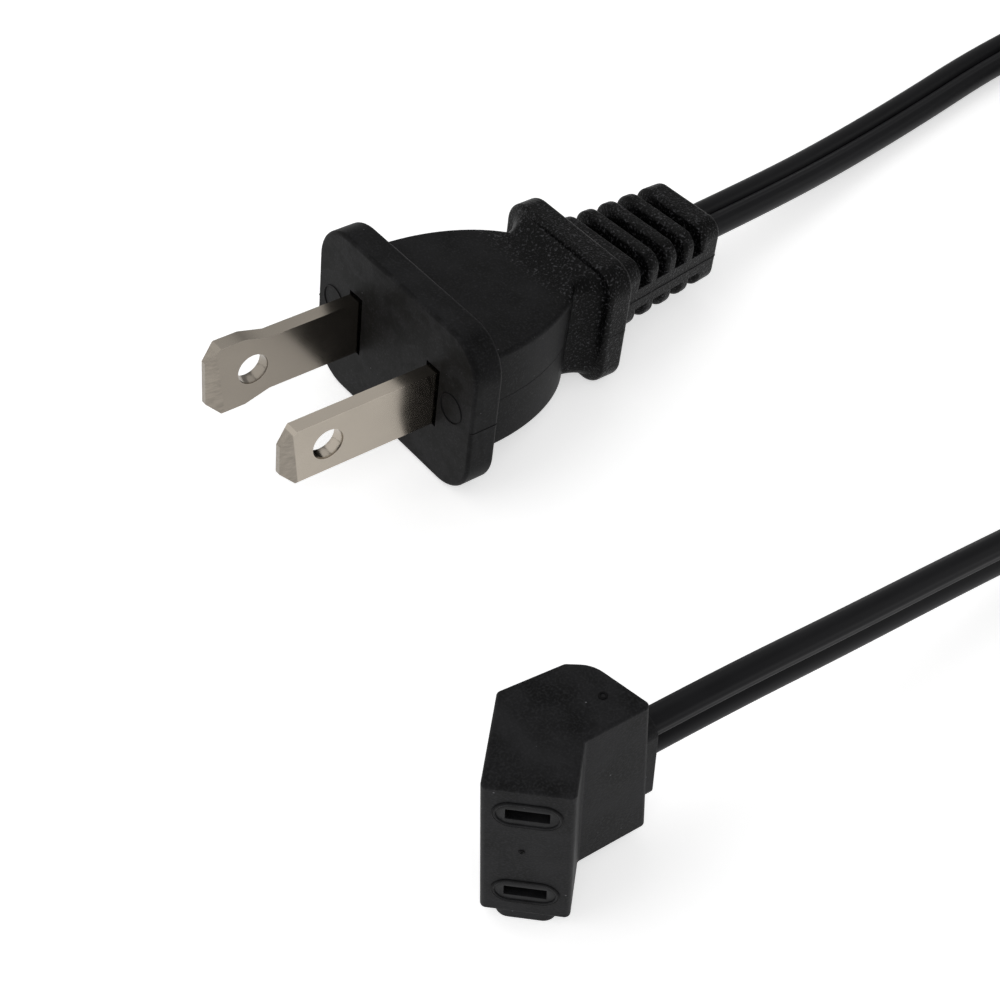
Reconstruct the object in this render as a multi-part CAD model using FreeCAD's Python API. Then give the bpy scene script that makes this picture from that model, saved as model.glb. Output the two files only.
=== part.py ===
# Polarised two-blade plug on a flat twin cord that ends in an angled two-slot connector.
# Sizes are in millimetres. The plug is drawn straight, blades along -Y and cord along +Y,
# and is then laid down: it rests on the lower edges of its face flange and its finger guard.
import FreeCAD, Part
import math
import os

V = FreeCAD.Vector

# Blades, one stamping each, with a crimp barrel at the inner end
BLADE_SPACING = 12.7
BLADE_THICK = 1.5
NARROW_WIDTH = 6.35
WIDE_WIDTH = 8.0
BLADE_REACH = 17.5
HOLE_FROM_FACE = 12.4
BLADE_HOLE = 3.4
TIP_CHAMFER = 1.5
TIP_BEVEL = 1.4
TIP_BEVEL_DEPTH = 0.45
FLARE_FROM_TIP = 4.2
FLARE_LENGTH = 2.8
SHOULDER_DEPTH = 4.9
NECK_WIDTH = 2.6
BARREL_START = 6.6
BARREL_LENGTH = 3.6
BARREL_RADIUS = 1.3
BARREL_FLOOR = 1.0

# Face flange, its middle a little below the blades'
FLANGE_WIDTH = 25.5
FLANGE_HEIGHT = 18.7
FLANGE_THICK = 3.3
FLANGE_CORNER = 4.5
FLANGE_DROP = 0.2
FLANGE_EDGE = 0.4
RECESS_DEPTH = 0.5
RECESS_GAP = 0.3

# Plug body, which falls a little towards the cord, and finger guard
BODY_WIDTH = 20.4
BODY_HEIGHT = 11.8
BODY_DROP = 0.5
BODY_STRAIGHT = 1.2
BODY_NOSE = 16.0
BODY_EDGE = 0.5
BODY_FALL = 1.3
FLARE_START = 16.2
NECK_HALF = 5.4
NECK_CORNER = 1.0
GUARD_FRONT = 20.4
GUARD_THICK = 2.9
GUARD_WIDTH = 16.9
GUARD_HEIGHT = 14.2
GUARD_CORNER = 2.7
GUARD_DROP = 0.35
GUARD_EDGE = 0.5

# Strain relief, which the cord's pull has bent a little to one side
RELIEF_LENGTH = 16.0
RELIEF_LEAN = 3.2
RELIEF_FRONT_WIDTH = 12.2
RELIEF_FRONT_HEIGHT = 8.1
RELIEF_BACK_WIDTH = 10.0
RELIEF_BACK_HEIGHT = 7.8
RELIEF_RISE = 0.25
RELIEF_CORNER = 1.8
RIB_EDGE = 0.5
GROOVES = 4
GROOVE_PITCH = 2.8
GROOVE_WIDTH = 1.2
END_BLOCK = 2.8
GROOVE_SIDE_DEPTH = 1.0
GROOVE_FACE_DEPTH = 1.5
SIDE_BAND = 2.6
GUARD_GAP = 0.45
GUARD_GAP_DEPTH = 0.5

# Inner holder that keeps the blades apart
HOLDER_FRONT = 1.2
HOLDER_BACK = 4.4
HOLDER_WIDTH = 17.6
HOLDER_HEIGHT = 8.6
HOLDER_CORNER = 1.0

# Cord, and its bared strands and insulated legs inside the plug
CORD_WIDTH = 5.0
CORD_THICK = 2.5
STRAND_RADIUS = 0.75
STRAND_STICKS_OUT = 0.6
WIRE_CLEARANCE = 0.05
LEG_STRAIGHT = 2.0

# Connector moulding: an upright block bent in plan, with a foot below and a collar at the cord.
# Angles are turns from the slot face's sides, and the end skew is from square to the cord.
# The end face leans out towards the floor
FACE_WIDTH = 7.45
NEAR_SIDE = 5.4
FAR_SIDE = 9.15
ELBOW_ANGLE = 41.0
LEG_LENGTH = 6.4
OUTER_ANGLE = 36.0
OUTER_LENGTH = 6.1
END_WIDTH = 6.1
END_SKEW = 15.5
END_LEAN = 0.8
CONNECTOR_HEIGHT = 17.2
CONNECTOR_BACK_CORNER = 3.0
CONNECTOR_SIDE_EDGE = 0.5
CONNECTOR_RIM_EDGE = 0.3
FOOT_HEIGHT = 1.1
FOOT_WIDTH = 5.2
FOOT_LENGTH = 8.0
FOOT_CORNER = 1.2
FOOT_SETBACK = 0.2
COLLAR_OUT = 1.5
COLLAR_MARGIN_TOP = 4.0
COLLAR_MARGIN_FOOT = 3.4
COLLAR_MARGIN_SIDE = 0.2
COLLAR_CORNER = 1.4

# Connector's slots and its hard carrier
SLOT_SPACING = 10.75
SLOT_WIDTH = 3.5
SLOT_HEIGHT = 1.25
SNOUT_WIDTH = 5.2
SNOUT_HEIGHT = 2.8
FRONT_WALL = 0.9
CARRIER_LIP = 0.4
CARRIER_WALL = 1.0
CARRIER_SIDE_WALL = 0.7
CARRIER_BACK = 6.2

# Connector's contacts: spring box, turned strip, neck and crimp barrel
CONTACT_WIDTH = 4.2
CONTACT_HEIGHT = 2.0
CONTACT_GAP = 0.9
CONTACT_WEB = 0.4
STRIP_WIDTH = 1.8
STRIP_THICK = 0.5
TAIL_HEIGHT = 1.1
TAIL_BARREL_START = 7.2
TAIL_BARREL_LENGTH = 2.6
TAIL_BARREL_RADIUS = 1.05
TAIL_BARREL_FLOOR = 0.7
TAIL_STRAND_RADIUS = 0.6
TAIL_STICKS_OUT = 0.4

# Where the connector stands, in the laid-down frame
CONNECTOR_X = 49.9
CONNECTOR_Y = -38.5
CONNECTOR_YAW = 44.0

# Coil of the unseen length, and its tie
COIL_X = 25.6
COIL_Y = 114.0
COIL_INNER_TURN = 25.6
COIL_OUTER_TURN = 30.8
COIL_LAYERS = 3
COIL_SLACK = 0.3
COIL_LEAD = 20.0
TIE_THICK = 0.4
TIE_WIDTH = 4.0
TIE_ANGLE = 90.0

# Routes of the two free runs, from the plug or connector to the coil: straight out of the
# exit first, then these points, then the coil's lead
PLUG_OUT = 13.0
PLUG_ROUTE = [(-3.1, 54.5, 2.4), (-4.4, 68.5, 1.8), (-5.2, 81.5, 1.65)]
CONNECTOR_OUT = 9.0
CONNECTOR_ROUTE = [(50.6, 0.6, 7.9), (50.9, 16.0, 5.6), (51.7, 32.0, 3.6), (53.4, 48.6, 2.7),
                   (55.4, 65.0, 3.7), (56.4, 80.5, 5.7)]

# Arcs of a route take this share of the shorter run beside them
ARC_SHARE = 0.45
# How far joined shapes run into each other, how far cutting tools pass a surface, and the
# tolerance for finding edges
MERGE = 0.1
PAST = 1.0
TINY = 1e-4

guard_back = GUARD_FRONT + GUARD_THICK
plug_back = guard_back + RELIEF_LENGTH
blade_x = BLADE_SPACING / 2
leg_radius = CORD_THICK / 2 - WIRE_CLEARANCE
lobe = (CORD_WIDTH - CORD_THICK) / 2


def box(x0, x1, y0, y1, z0, z1):
    return Part.makeBox(x1 - x0, y1 - y0, z1 - z0, V(x0, y0, z0))


def cylinder(start, direction, radius, length):
    return Part.makeCylinder(radius, length, start, direction)


def rounded_wire(width, height, corner, y, cx=0, cz=0):
    """Rounded rectangle in the plane at y, as four sides and four arcs."""
    a, b, r = width / 2, height / 2, corner
    k = r * (1 - math.sqrt(0.5))
    edges = []
    quarter = [(1, 1), (-1, 1), (-1, -1), (1, -1)]
    for i, (sx, sz) in enumerate(quarter):
        side = V(cx + sx * a, y, cz + sz * (b - r))
        top = V(cx + sx * (a - r), y, cz + sz * b)
        start, end = (side, top) if i % 2 == 0 else (top, side)
        middle = V(cx + sx * (a - k), y, cz + sz * (b - k))
        edges.append(Part.Arc(start, middle, end).toShape())
        nx, nz = quarter[(i + 1) % 4]
        if i % 2 == 0:
            after = V(cx + nx * (a - r), y, cz + nz * b)
        else:
            after = V(cx + nx * a, y, cz + nz * (b - r))
        if end.distanceToPoint(after) > TINY:
            edges.append(Part.LineSegment(end, after).toShape())
    return Part.Wire(edges)


def rounded_block(width, height, corner, y0, y1, cx=0, cz=0):
    wire = rounded_wire(width, height, corner, y0, cx, cz)
    return Part.Face(wire).extrude(V(0, y1 - y0, 0))


def edges_in_plane(shape, y):
    found = []
    for edge in shape.Edges:
        limits = edge.BoundBox
        if abs(limits.YMin - y) < TINY and abs(limits.YMax - y) < TINY:
            found.append(edge)
    return found


def arc_path(points):
    """Straight runs with a tangent arc at each inner point, and the arcs' radii."""
    edges, radii = [], []
    start = points[0]
    for before, here, after in zip(points, points[1:], points[2:]):
        a, b = (before - here), (after - here)
        shorter = min(a.Length, b.Length)
        a.normalize()
        b.normalize()
        half_turn = (math.pi - a.getAngle(b)) / 2
        cut = ARC_SHARE * shorter
        radius = cut / math.tan(half_turn)
        enter, leave = here + a * cut, here + b * cut
        inward = (a + b).normalize()
        middle = here + inward * (radius / math.cos(half_turn) - radius)
        edges.append(Part.LineSegment(start, enter).toShape())
        edges.append(Part.Arc(enter, middle, leave).toShape())
        radii.append(radius)
        start = leave
    edges.append(Part.LineSegment(start, points[-1]).toShape())
    return Part.Wire(edges), radii


def round_wire_tube(points, radius):
    path, _ = arc_path(points)
    direction = points[1] - points[0]
    circle = Part.Wire(Part.Circle(points[0], direction, radius).toShape())
    return path.makePipeShell([circle], True, False)


def flat_tube(points, upright):
    """Flat cord along the points; upright stands it on its narrow side."""
    path, radii = arc_path(points)
    forward = (points[1] - points[0]).normalize()
    across = forward.cross(V(0, 0, 1)).normalize()
    up = across.cross(forward).normalize()
    wide, thin = (up, across) if upright else (across, up)
    r = CORD_THICK / 2
    start = points[0]
    right_top, right_low = start + wide * lobe + thin * r, start + wide * lobe - thin * r
    left_top, left_low = start - wide * lobe + thin * r, start - wide * lobe - thin * r
    section = Part.Wire([
        Part.Arc(right_top, start + wide * (lobe + r), right_low).toShape(),
        Part.LineSegment(right_low, left_low).toShape(),
        Part.Arc(left_low, start - wide * (lobe + r), left_top).toShape(),
        Part.LineSegment(left_top, right_top).toShape(),
    ])
    sweep = Part.BRepOffsetAPI.MakePipeShell(path)
    sweep.setFrenetMode(False)
    sweep.add(section)
    sweep.build()
    sweep.makeSolid()
    tube = sweep.shape()
    area = math.pi * r * r + 2 * lobe * CORD_THICK
    print("cord run: length", round(path.Length, 1), "volume over section times length",
          round(tube.Volume / (area * path.Length), 4), "radii", [round(x, 1) for x in radii])
    return tube


def tip_wedge(x0):
    """Room left for a blade by the long bevels that thin its tip from both faces."""
    x1, reach = x0 + BLADE_THICK, -BLADE_REACH
    bevel_end = reach + TIP_BEVEL
    plan = [V(x0, BARREL_START + PAST, 0), V(x0, bevel_end, 0), V(x0 + TIP_BEVEL_DEPTH, reach, 0),
            V(x1 - TIP_BEVEL_DEPTH, reach, 0), V(x1, bevel_end, 0), V(x1, BARREL_START + PAST, 0)]
    face = Part.Face(Part.makePolygon(plan + plan[:1]))
    face.translate(V(0, 0, -WIDE_WIDTH))
    return face.extrude(V(0, 0, 2 * WIDE_WIDTH))


def blade(side, tip_width):
    """One stamping: blade, shoulders, neck and crimp barrel. side is -1 or +1 in X."""
    a, t, n = NARROW_WIDTH / 2, tip_width / 2, NECK_WIDTH / 2
    flare_end = -BLADE_REACH + FLARE_FROM_TIP
    flare_start = flare_end + FLARE_LENGTH
    half = [(BARREL_START + BARREL_FLOOR, n), (SHOULDER_DEPTH + a - n, n), (SHOULDER_DEPTH, a)]
    if t > a:
        half += [(flare_start, a), (flare_end, t)]
    half += [(-BLADE_REACH + TIP_CHAMFER, t), (-BLADE_REACH, t - TIP_CHAMFER)]
    outline = half + [(y, -z) for y, z in reversed(half)]
    x0 = side * blade_x - BLADE_THICK / 2
    points = [V(x0, y, z) for y, z in outline]
    plate = Part.Face(Part.makePolygon(points + points[:1])).extrude(V(BLADE_THICK, 0, 0))
    plate = plate.common(tip_wedge(x0))
    hole_start = V(x0 - PAST, -HOLE_FROM_FACE, 0)
    hole = cylinder(hole_start, V(1, 0, 0), BLADE_HOLE / 2, BLADE_THICK + 2 * PAST)
    axis = V(side * blade_x, BARREL_START, 0)
    barrel = cylinder(axis, V(0, 1, 0), BARREL_RADIUS, BARREL_LENGTH)
    bore = cylinder(axis + V(0, BARREL_FLOOR, 0), V(0, 1, 0), STRAND_RADIUS, BARREL_LENGTH)
    return plate.cut(hole).fuse(barrel).cut(bore).removeSplitter()


def plug_strand(side):
    start = V(side * blade_x, BARREL_START + BARREL_FLOOR, 0)
    length = BARREL_LENGTH - BARREL_FLOOR + STRAND_STICKS_OUT
    return cylinder(start, V(0, 1, 0), STRAND_RADIUS, length)


def leaned(point):
    """Where a point of the straight strain relief goes when it leans."""
    pivot = V(0, guard_back, 0)
    return pivot + FreeCAD.Rotation(V(0, 0, 1), RELIEF_LEAN).multVec(point - pivot)


def plug_leg(side):
    start = BARREL_START + BARREL_LENGTH + STRAND_STICKS_OUT
    points = [V(side * blade_x, start, 0), V(side * blade_x, start + LEG_STRAIGHT, 0),
              leaned(V(side * lobe, guard_back, 0)), leaned(V(side * lobe, plug_back, 0))]
    return round_wire_tube(points, leg_radius)


def holder(blades):
    block = rounded_block(HOLDER_WIDTH, HOLDER_HEIGHT, HOLDER_CORNER, HOLDER_FRONT, HOLDER_BACK)
    return block.cut(Part.makeCompound(blades))


def flange():
    plate = rounded_block(FLANGE_WIDTH, FLANGE_HEIGHT, FLANGE_CORNER, 0, FLANGE_THICK,
                          0, -FLANGE_DROP)
    rims = edges_in_plane(plate, 0) + edges_in_plane(plate, FLANGE_THICK)
    return plate.makeFillet(FLANGE_EDGE, rims)


def body():
    """D-shaped in plan: a short straight part and half an ellipse, with a flat top."""
    w, h = BODY_WIDTH / 2, BODY_HEIGHT / 2
    start = FLANGE_THICK / 2
    bend = FLANGE_THICK + BODY_STRAIGHT
    corners = [V(w, start, -h), V(w, bend, -h), V(-w, bend, -h), V(-w, start, -h)]
    ellipse = Part.Ellipse(V(0, bend + BODY_NOSE, -h), V(w, bend, -h), V(0, bend, -h))
    nose = Part.ArcOfEllipse(ellipse, -math.pi / 2, math.pi / 2).toShape()
    sides = [Part.LineSegment(corners[0], corners[1]).toShape(),
             Part.LineSegment(corners[2], corners[3]).toShape(),
             Part.LineSegment(corners[3], corners[0]).toShape()]
    outline = Part.Wire(Part.__sortEdges__([nose] + sides))
    solid = Part.Face(outline).extrude(V(0, 0, BODY_HEIGHT))
    rims = []
    for edge in solid.Edges:
        limits = edge.BoundBox
        if limits.ZLength < TINY and limits.YMax > bend - TINY:
            rims.append(edge)
    solid = solid.makeFillet(BODY_EDGE, rims)
    solid.translate(V(0, 0, -BODY_DROP))
    solid.rotate(V(0, FLANGE_THICK, 0), V(1, 0, 0), -BODY_FALL)
    return solid


def guard():
    """Finger guard: a rounded plate, and the hollow curve that rises to it from the body."""
    plate = rounded_block(GUARD_WIDTH, GUARD_HEIGHT, GUARD_CORNER, GUARD_FRONT, guard_back,
                          0, -GUARD_DROP)
    rims = edges_in_plane(plate, guard_back) + edges_in_plane(plate, GUARD_FRONT)
    plate = plate.makeFillet(GUARD_EDGE, rims)
    fallen = (FLARE_START - FLANGE_THICK) * math.tan(math.radians(BODY_FALL))
    low = (2 * NECK_HALF, BODY_HEIGHT - 2 * MERGE, NECK_CORNER, -BODY_DROP - fallen)
    high = (GUARD_WIDTH - 2 * GUARD_EDGE, GUARD_HEIGHT - 2 * GUARD_EDGE,
            GUARD_CORNER - GUARD_EDGE, -GUARD_DROP)
    sections = []
    for t in (0, 0.35, 0.6, 0.8, 0.93, 1):
        rise = 1 - math.sqrt(1 - t * t)
        width, height, corner, middle = [a + (b - a) * rise for a, b in zip(low, high)]
        y = FLARE_START + (GUARD_FRONT + MERGE - FLARE_START) * t
        sections.append(rounded_wire(width, height, corner, y, 0, middle))
    return plate.fuse(Part.makeLoft(sections, True, False))


def relief_taper(y0, y1, side_depth=0, face_depth=0):
    """Part of the strain relief's taper, taken in by a depth at its sides and its faces."""
    slope_wide = (RELIEF_BACK_WIDTH - RELIEF_FRONT_WIDTH) / RELIEF_LENGTH
    slope_tall = (RELIEF_BACK_HEIGHT - RELIEF_FRONT_HEIGHT) / RELIEF_LENGTH
    wires = []
    for y in (y0, y1):
        width = RELIEF_FRONT_WIDTH + slope_wide * (y - guard_back) - 2 * side_depth
        height = RELIEF_FRONT_HEIGHT + slope_tall * (y - guard_back) - 2 * face_depth
        wires.append(rounded_wire(width, height, RELIEF_CORNER - side_depth, y, 0, RELIEF_RISE))
    return Part.makeLoft(wires, True, True)


def strain_relief():
    """Round-edged ribs on a tapered core, joined by a plain band along each side."""
    starts = [guard_back + GUARD_GAP]
    ends = []
    for i in range(GROOVES):
        groove = plug_back - END_BLOCK - GROOVE_WIDTH - (GROOVES - 1 - i) * GROOVE_PITCH
        ends.append(groove)
        starts.append(groove + GROOVE_WIDTH)
    ends.append(plug_back)
    ribs = []
    for y0, y1 in zip(starts, ends):
        rib = relief_taper(y0, y1)
        ribs.append(rib.makeFillet(RIB_EDGE, edges_in_plane(rib, y0) + edges_in_plane(rib, y1)))
    core_end = plug_back - END_BLOCK / 2
    core = relief_taper(guard_back - MERGE, core_end, GROOVE_SIDE_DEPTH, GROOVE_FACE_DEPTH)
    neck = relief_taper(guard_back - MERGE, starts[0] + RIB_EDGE + MERGE, GUARD_GAP_DEPTH,
                        GUARD_GAP_DEPTH)
    wide = RELIEF_FRONT_WIDTH
    band = relief_taper(starts[0] + RIB_EDGE, core_end)
    band = band.common(box(-wide, wide, starts[0], plug_back, -SIDE_BAND / 2, SIDE_BAND / 2))
    solid = core.fuse([neck, band] + ribs)
    solid.rotate(V(0, guard_back, 0), V(0, 0, 1), RELIEF_LEAN)
    return solid


def blade_recesses():
    cuts = []
    for side in (-1, 1):
        x, t, w = side * blade_x, BLADE_THICK / 2 + RECESS_GAP, NARROW_WIDTH / 2 + RECESS_GAP
        cuts.append(box(x - t, x + t, -PAST, RECESS_DEPTH, -w, w))
    return Part.makeCompound(cuts)


def plug_moulding(inner_pieces):
    solid = flange().fuse([body(), guard(), strain_relief()])
    solid = solid.cut(blade_recesses())
    return solid.cut(Part.makeCompound(inner_pieces)).removeSplitter()


def heading(degrees):
    angle = math.radians(degrees)
    return V(math.cos(angle), math.sin(angle), 0)


def elbow_outline(lean, level):
    """Corners of the connector in plan, slot face first, anticlockwise from above."""
    inner = V(FACE_WIDTH, NEAR_SIDE, 0)
    near = inner + heading(ELBOW_ANGLE) * (LEG_LENGTH + lean)
    far = near + heading(ELBOW_ANGLE + 90 + END_SKEW) * END_WIDTH
    outer_side = V(0, FAR_SIDE, 0)
    outer_back = outer_side + heading(OUTER_ANGLE) * OUTER_LENGTH
    corners = [V(0, 0, 0), V(FACE_WIDTH, 0, 0), inner, near, far, outer_back, outer_side]
    return [corner + V(0, 0, level) for corner in corners]


low_corners = elbow_outline(END_LEAN, 0)
top_corners = elbow_outline(0, CONNECTOR_HEIGHT)
elbow_along = heading(ELBOW_ANGLE)
# The cord leaves at the middle of the elbow's end face
exit_flat = (low_corners[3] + low_corners[4] + top_corners[3] + top_corners[4]) * 0.25
slot_levels = [(CONNECTOR_HEIGHT + s * SLOT_SPACING) / 2 for s in (1, -1)]
mid_height = CONNECTOR_HEIGHT / 2
contact_front = FRONT_WALL + CARRIER_LIP


def connector_axis(back, level):
    """Point on the cord's line inside the connector, back from the collar's face."""
    point = exit_flat + elbow_along * (COLLAR_OUT - back)
    return V(point.x, point.y, level)


def wire_level(level):
    """Height of the wire that goes to the contact at this level."""
    return mid_height + math.copysign(lobe, level - mid_height)


def across_face(width, y0, y1, level, height):
    """Box centred on the slot face's width and on a level."""
    middle = FACE_WIDTH / 2
    return box(middle - width / 2, middle + width / 2, y0, y1, level - height / 2, level + height / 2)


def carrier(contacts):
    """Hard insert: a block with a snout for each slot, flush with the connector's face."""
    block = across_face(CONTACT_WIDTH + 2 * CARRIER_SIDE_WALL, FRONT_WALL, CARRIER_BACK,
                        mid_height, CONNECTOR_HEIGHT - 2 * CARRIER_WALL)
    snouts, slots = [], []
    for level in slot_levels:
        snouts.append(rounded_block(SNOUT_WIDTH, SNOUT_HEIGHT, SNOUT_HEIGHT / 2, 0, contact_front,
                                    FACE_WIDTH / 2, level))
        slots.append(across_face(SLOT_WIDTH, -PAST, contact_front, level, SLOT_HEIGHT))
        slots.append(across_face(CONTACT_WIDTH, contact_front, CARRIER_BACK + PAST, level,
                                 CONTACT_HEIGHT))
    solid = block.fuse(snouts).cut(Part.makeCompound(slots))
    return solid.cut(Part.makeCompound(contacts)).removeSplitter()


def contact(level):
    """Spring box, a strip that turns towards mid height, and a crimp barrel on the cord's line."""
    spring = across_face(CONTACT_WIDTH, contact_front, CARRIER_BACK, level, CONTACT_HEIGHT)
    gap = across_face(SLOT_WIDTH, contact_front - PAST, CARRIER_BACK - CONTACT_WEB, level,
                      CONTACT_GAP)
    line = wire_level(level)
    outward = math.copysign(1, level - mid_height)
    z0, z1 = sorted((line - outward * TAIL_HEIGHT / 2, level + outward * CONTACT_HEIGHT / 2))
    strip_middle = CARRIER_BACK + STRIP_THICK / 2
    start = connector_axis(0, line)
    start = start - elbow_along * ((start.y - strip_middle) / elbow_along.y)
    strip = box(start.x - STRIP_WIDTH / 2, start.x + STRIP_WIDTH / 2, CARRIER_BACK,
                CARRIER_BACK + STRIP_THICK, z0, z1)
    neck_end = connector_axis(TAIL_BARREL_START - TAIL_BARREL_FLOOR, line)
    neck = Part.makeBox((neck_end - start).Length, STRIP_THICK, TAIL_HEIGHT,
                        V(0, -STRIP_THICK / 2, -TAIL_HEIGHT / 2))
    neck.rotate(V(0, 0, 0), V(0, 0, 1), ELBOW_ANGLE)
    neck.translate(start)
    barrel = cylinder(connector_axis(TAIL_BARREL_START, line), elbow_along,
                      TAIL_BARREL_RADIUS, TAIL_BARREL_LENGTH)
    bore = cylinder(neck_end, elbow_along, TAIL_STRAND_RADIUS, TAIL_BARREL_LENGTH)
    return spring.cut(gap).fuse([strip, neck, barrel]).cut(bore).removeSplitter()


def connector_strand(level):
    start = connector_axis(TAIL_BARREL_START - TAIL_BARREL_FLOOR, wire_level(level))
    length = TAIL_BARREL_LENGTH - TAIL_BARREL_FLOOR + TAIL_STICKS_OUT
    return cylinder(start, elbow_along, TAIL_STRAND_RADIUS, length)


def connector_leg(level):
    back = TAIL_BARREL_START - TAIL_BARREL_LENGTH - TAIL_STICKS_OUT
    return cylinder(connector_axis(back, wire_level(level)), elbow_along, leg_radius, back)


def collar():
    skew = math.radians(END_SKEW)
    width = END_WIDTH * math.cos(skew) - 2 * COLLAR_MARGIN_SIDE
    height = CONNECTOR_HEIGHT - COLLAR_MARGIN_TOP - COLLAR_MARGIN_FOOT
    inside = END_WIDTH / 2 * math.sin(skew) + END_LEAN / 2 + MERGE
    block = rounded_block(width, height, COLLAR_CORNER, -inside, COLLAR_OUT)
    block.rotate(V(0, 0, 0), V(0, 0, 1), ELBOW_ANGLE - 90)
    block.translate(V(exit_flat.x, exit_flat.y, COLLAR_MARGIN_FOOT + height / 2))
    return block


def foot():
    x0 = (FACE_WIDTH - FOOT_WIDTH) / 2
    block = box(x0, x0 + FOOT_WIDTH, FOOT_SETBACK, FOOT_LENGTH, -FOOT_HEIGHT, MERGE)
    upright = [e for e in block.Edges if e.BoundBox.ZLength > FOOT_HEIGHT]
    return block.makeFillet(FOOT_CORNER, upright)


def edge_between(shape, low, high):
    """The edge that runs straight from one height to another, near these two points."""
    middle = (low + high) * 0.5
    for edge in shape.Edges:
        tall = edge.BoundBox.ZLength > CONNECTOR_HEIGHT - PAST
        if tall and edge.CenterOfMass.distanceToPoint(middle) < TINY:
            return edge
    raise ValueError("no edge there")


def connector_moulding(inner_pieces):
    wires = [Part.makePolygon(corners + corners[:1]) for corners in (low_corners, top_corners)]
    solid = Part.makeLoft(wires, True, True)
    ends = list(zip(low_corners, top_corners))
    back_corner = edge_between(solid, *ends[4])
    solid = solid.makeFillet(CONNECTOR_BACK_CORNER, [back_corner])
    sides = [edge_between(solid, *ends[i]) for i in (0, 1, 2, 3, 5, 6)]
    solid = solid.makeFillet(CONNECTOR_SIDE_EDGE, sides)
    rims = [e for e in solid.Edges if e.BoundBox.ZLength < TINY]
    solid = solid.makeFillet(CONNECTOR_RIM_EDGE, rims)
    solid = solid.fuse([foot(), collar()])
    return solid.cut(Part.makeCompound(inner_pieces)).removeSplitter()


flange_reach = FLANGE_HEIGHT / 2 + FLANGE_DROP
guard_reach = GUARD_HEIGHT / 2 + GUARD_DROP
rest_tilt = math.degrees(math.atan2(flange_reach - guard_reach, guard_back - FLANGE_THICK))


def lay_down(shapes):
    """Tilt the plug onto its flange and guard, on the floor and centred along X and Y."""
    for shape in shapes:
        shape.rotate(V(0, 0, 0), V(1, 0, 0), -rest_tilt)
    limits = Part.makeCompound(shapes).optimalBoundingBox(False, False)
    shift = V(-(limits.XMin + limits.XMax) / 2, -(limits.YMin + limits.YMax) / 2, -limits.ZMin)
    for shape in shapes:
        shape.translate(shift)
    return shift


def laid(point, shift):
    return FreeCAD.Rotation(V(1, 0, 0), -rest_tilt).multVec(point) + shift


def stand_up(shapes):
    for shape in shapes:
        shape.rotate(V(0, 0, 0), V(0, 0, 1), CONNECTOR_YAW)
        shape.translate(V(CONNECTOR_X, CONNECTOR_Y, FOOT_HEIGHT))


def stood(point):
    turned = FreeCAD.Rotation(V(0, 0, 1), CONNECTOR_YAW).multVec(point)
    return turned + V(CONNECTOR_X, CONNECTOR_Y, FOOT_HEIGHT)


coil_inner = COIL_INNER_TURN - CORD_WIDTH / 2
coil_outer = COIL_OUTER_TURN + CORD_WIDTH / 2
coil_low = TIE_THICK
coil_high = coil_low + COIL_LAYERS * CORD_THICK + COIL_SLACK
plug_lead_height = coil_low + CORD_THICK / 2
connector_lead_height = coil_high - CORD_WIDTH / 2


def coil():
    """Outer shape of the coiled length, with a short straight lead at each end."""
    centre = V(COIL_X, COIL_Y, coil_low)
    ring = Part.makeCylinder(coil_outer, coil_high - coil_low, centre)
    ring = ring.cut(Part.makeCylinder(coil_inner, coil_high - coil_low, centre))
    flat = rounded_block(CORD_WIDTH, CORD_THICK, CORD_THICK / 2, COIL_Y - COIL_LEAD, COIL_Y,
                         COIL_X - COIL_OUTER_TURN, plug_lead_height)
    upright = rounded_block(CORD_THICK, CORD_WIDTH, CORD_THICK / 2, COIL_Y - COIL_LEAD, COIL_Y,
                            COIL_X + COIL_OUTER_TURN, connector_lead_height)
    return ring.fuse([flat, upright]).removeSplitter()


def coil_tie():
    """Strap round one side of the coil's bundle."""
    outside = box(coil_inner - TIE_THICK, coil_outer + TIE_THICK, -TIE_WIDTH / 2, TIE_WIDTH / 2,
                  coil_low - TIE_THICK, coil_high + TIE_THICK)
    outside.rotate(V(0, 0, 0), V(0, 0, 1), TIE_ANGLE)
    outside.translate(V(COIL_X, COIL_Y, 0))
    return outside.cut(coil())


def make_plug():
    pieces = {}
    pieces["blade_narrow"] = blade(1, NARROW_WIDTH)
    pieces["blade_wide"] = blade(-1, WIDE_WIDTH)
    pieces["blade_holder"] = holder([pieces["blade_narrow"], pieces["blade_wide"]])
    for side, name in ((1, "narrow"), (-1, "wide")):
        pieces["plug_strand_" + name] = plug_strand(side)
        pieces["plug_wire_" + name] = plug_leg(side)
    pieces["plug_moulding"] = plug_moulding(list(pieces.values()))
    return pieces


def make_connector():
    pieces = {}
    for level, name in zip(slot_levels, ("upper", "lower")):
        pieces["contact_" + name] = contact(level)
        pieces["connector_strand_" + name] = connector_strand(level)
        pieces["connector_wire_" + name] = connector_leg(level)
    pieces["slot_carrier"] = carrier([pieces["contact_upper"], pieces["contact_lower"]])
    slots = [across_face(SLOT_WIDTH, -PAST, CARRIER_BACK - CONTACT_WEB, level, SLOT_HEIGHT)
             for level in slot_levels]
    pieces["connector_moulding"] = connector_moulding(list(pieces.values()) + slots)
    return pieces


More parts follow.
